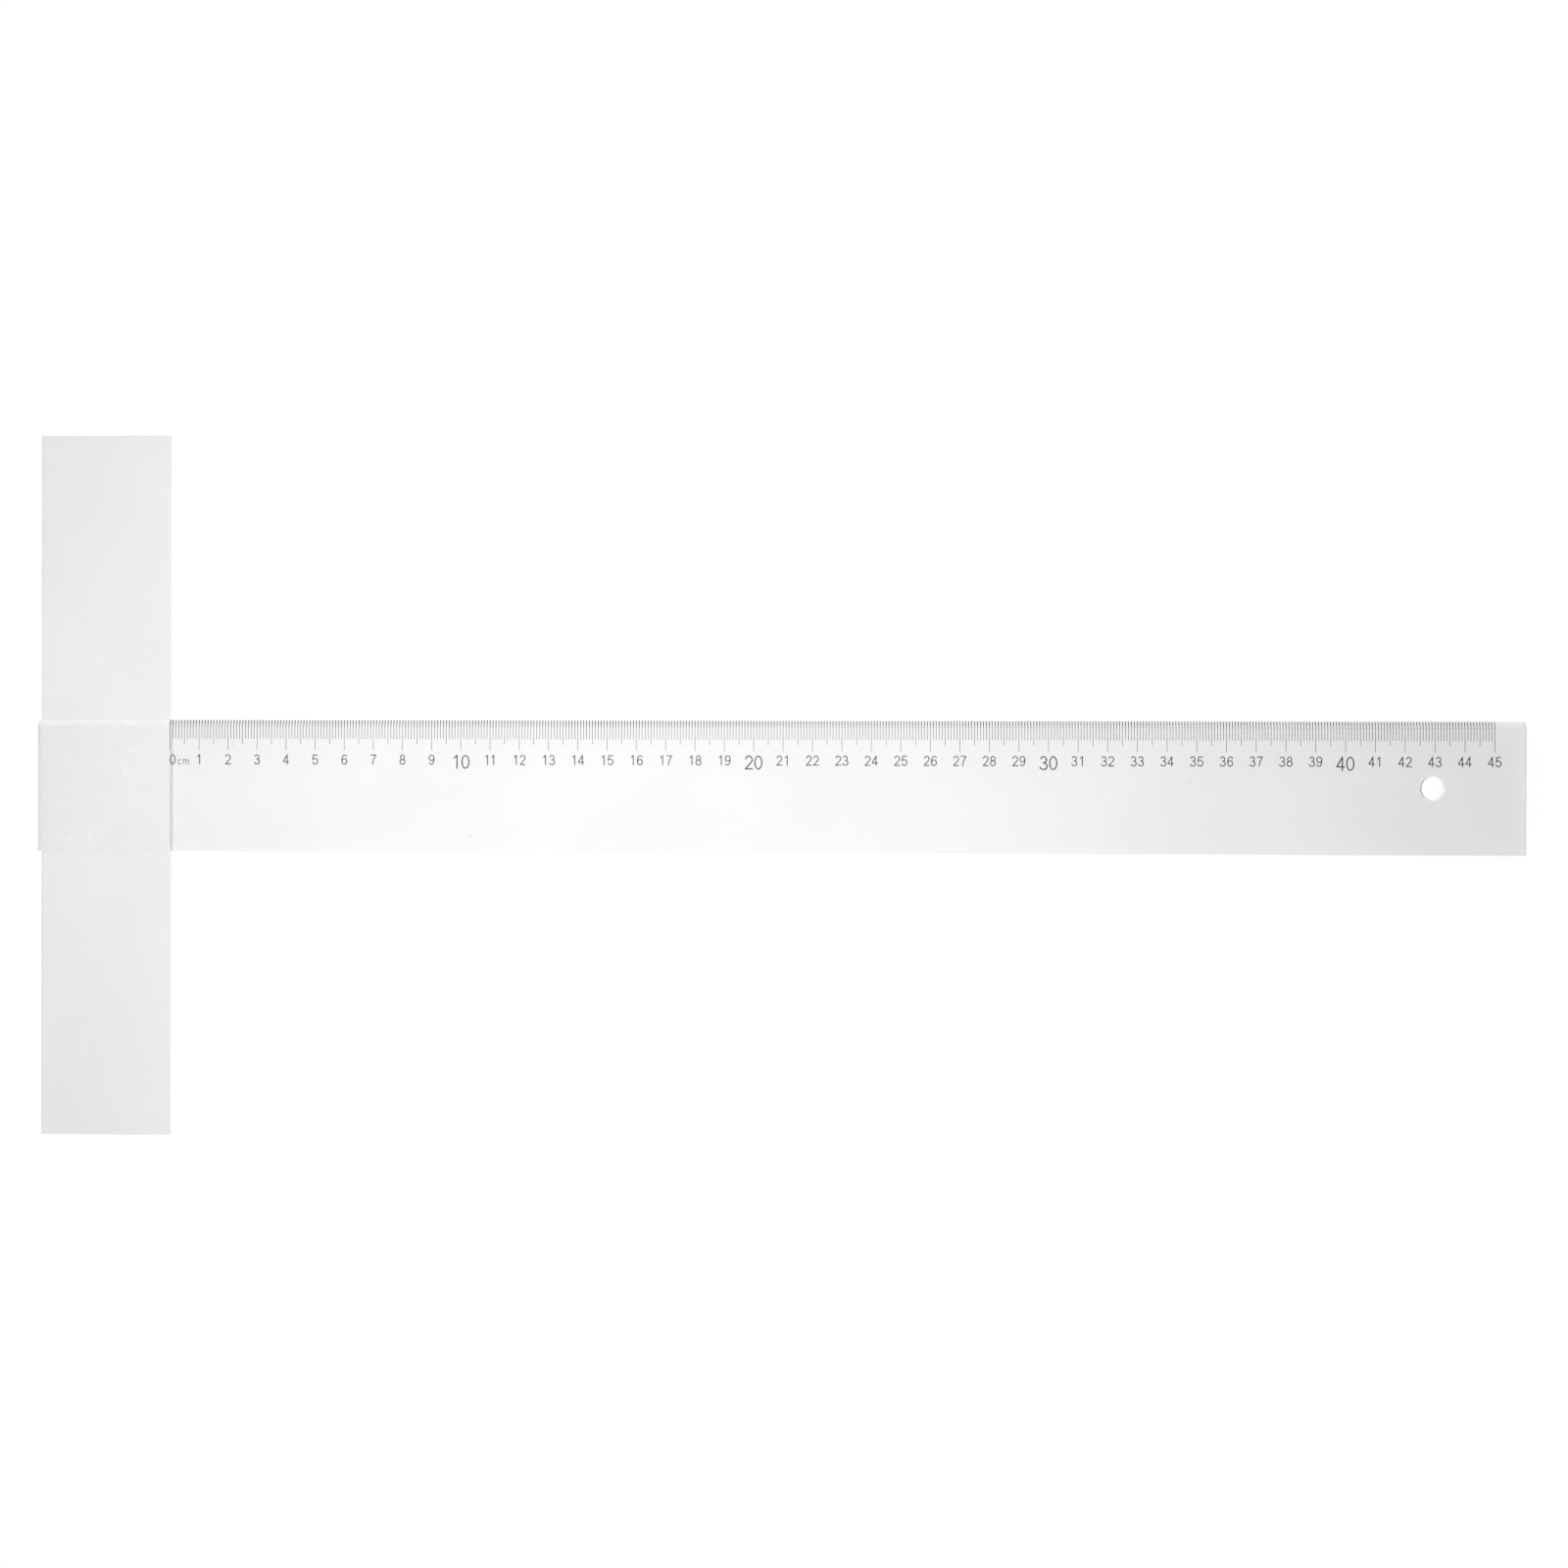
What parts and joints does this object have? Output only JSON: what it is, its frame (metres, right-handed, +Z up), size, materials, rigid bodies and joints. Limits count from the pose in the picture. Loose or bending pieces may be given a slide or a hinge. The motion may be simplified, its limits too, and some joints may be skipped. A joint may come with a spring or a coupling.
{
  "type": "t square",
  "caption": "Flat clear plastic drawing t square: a cross head cemented under a long bevelled blade with a printed centimetre scale and a hanging hole.",
  "frame": {"origin": "where the head's working edge crosses the blade's drawing edge, at the level of the blade's underside (the paper)", "axes": "+X along the blade from the head to the tip, +Y along the head, out of the drawing edge, +Z up, off the paper"},
  "size_m": [0.505, 0.24, 0.0061],
  "materials": {
    "clear_acrylic": "polished",
    "clear_cement": "gloss",
    "black_ink": "matte"
  },
  "bodies": {
    "root": {"head": "clear_acrylic", "blade": "clear_acrylic", "cement_layer": "clear_cement", "millimetre_marks": "black_ink", "half_centimetre_marks": "black_ink", "centimetre_marks": "black_ink", "numerals": "black_ink", "decade_numerals": "black_ink", "unit_label": "black_ink"}
  },
  "joints": []
}
